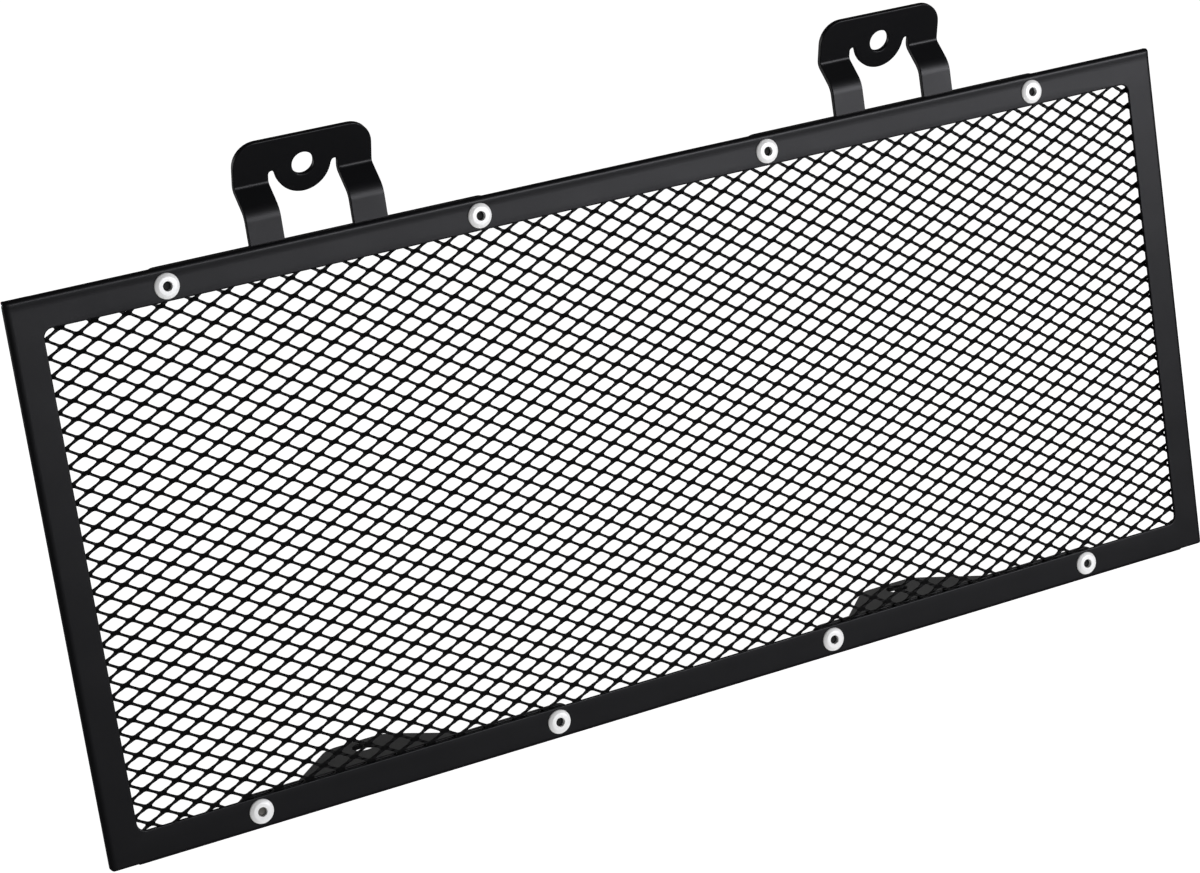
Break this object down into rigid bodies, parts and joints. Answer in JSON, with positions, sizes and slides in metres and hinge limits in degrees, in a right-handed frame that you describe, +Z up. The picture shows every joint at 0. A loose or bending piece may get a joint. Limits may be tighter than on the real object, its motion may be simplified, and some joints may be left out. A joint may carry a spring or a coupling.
{
  "type": "radiator guard",
  "caption": "Flat rectangular guard for a motorcycle radiator: a folded sheet frame with an expanded metal screen, carried by riveted sheet brackets with mounting holes.",
  "frame": {"origin": "midway between the two lower bracket holes, on the upper face of their flanges", "axes": "+X across the guard to its right as seen from the front, +Y from the front face back to the radiator, +Z up, along the axes of the lower holes"},
  "size_m": [0.4358, 0.0546, 0.2215],
  "materials": {
    "coat": "satin black powder coat",
    "screen_coat": "matt black powder coat",
    "rivet_metal": "bright",
    "mandrel_steel": "dull, broken end"
  },
  "bodies": {
    "root": {"frame": "coat", "screen": "screen_coat", "upper_bracket_left": "coat", "upper_bracket_right": "coat", "lower_bracket_left": "coat", "lower_bracket_right": "coat", "rivet_upper_1": "rivet_metal", "rivet_upper_2": "rivet_metal", "rivet_upper_3": "rivet_metal", "rivet_upper_4": "rivet_metal", "rivet_lower_1": "rivet_metal", "rivet_lower_2": "rivet_metal", "rivet_lower_3": "rivet_metal", "rivet_lower_4": "rivet_metal", "mandrel_upper_1": "mandrel_steel", "mandrel_upper_2": "mandrel_steel", "mandrel_upper_3": "mandrel_steel", "mandrel_upper_4": "mandrel_steel", "mandrel_lower_1": "mandrel_steel", "mandrel_lower_2": "mandrel_steel", "mandrel_lower_3": "mandrel_steel", "mandrel_lower_4": "mandrel_steel"}
  },
  "joints": []
}
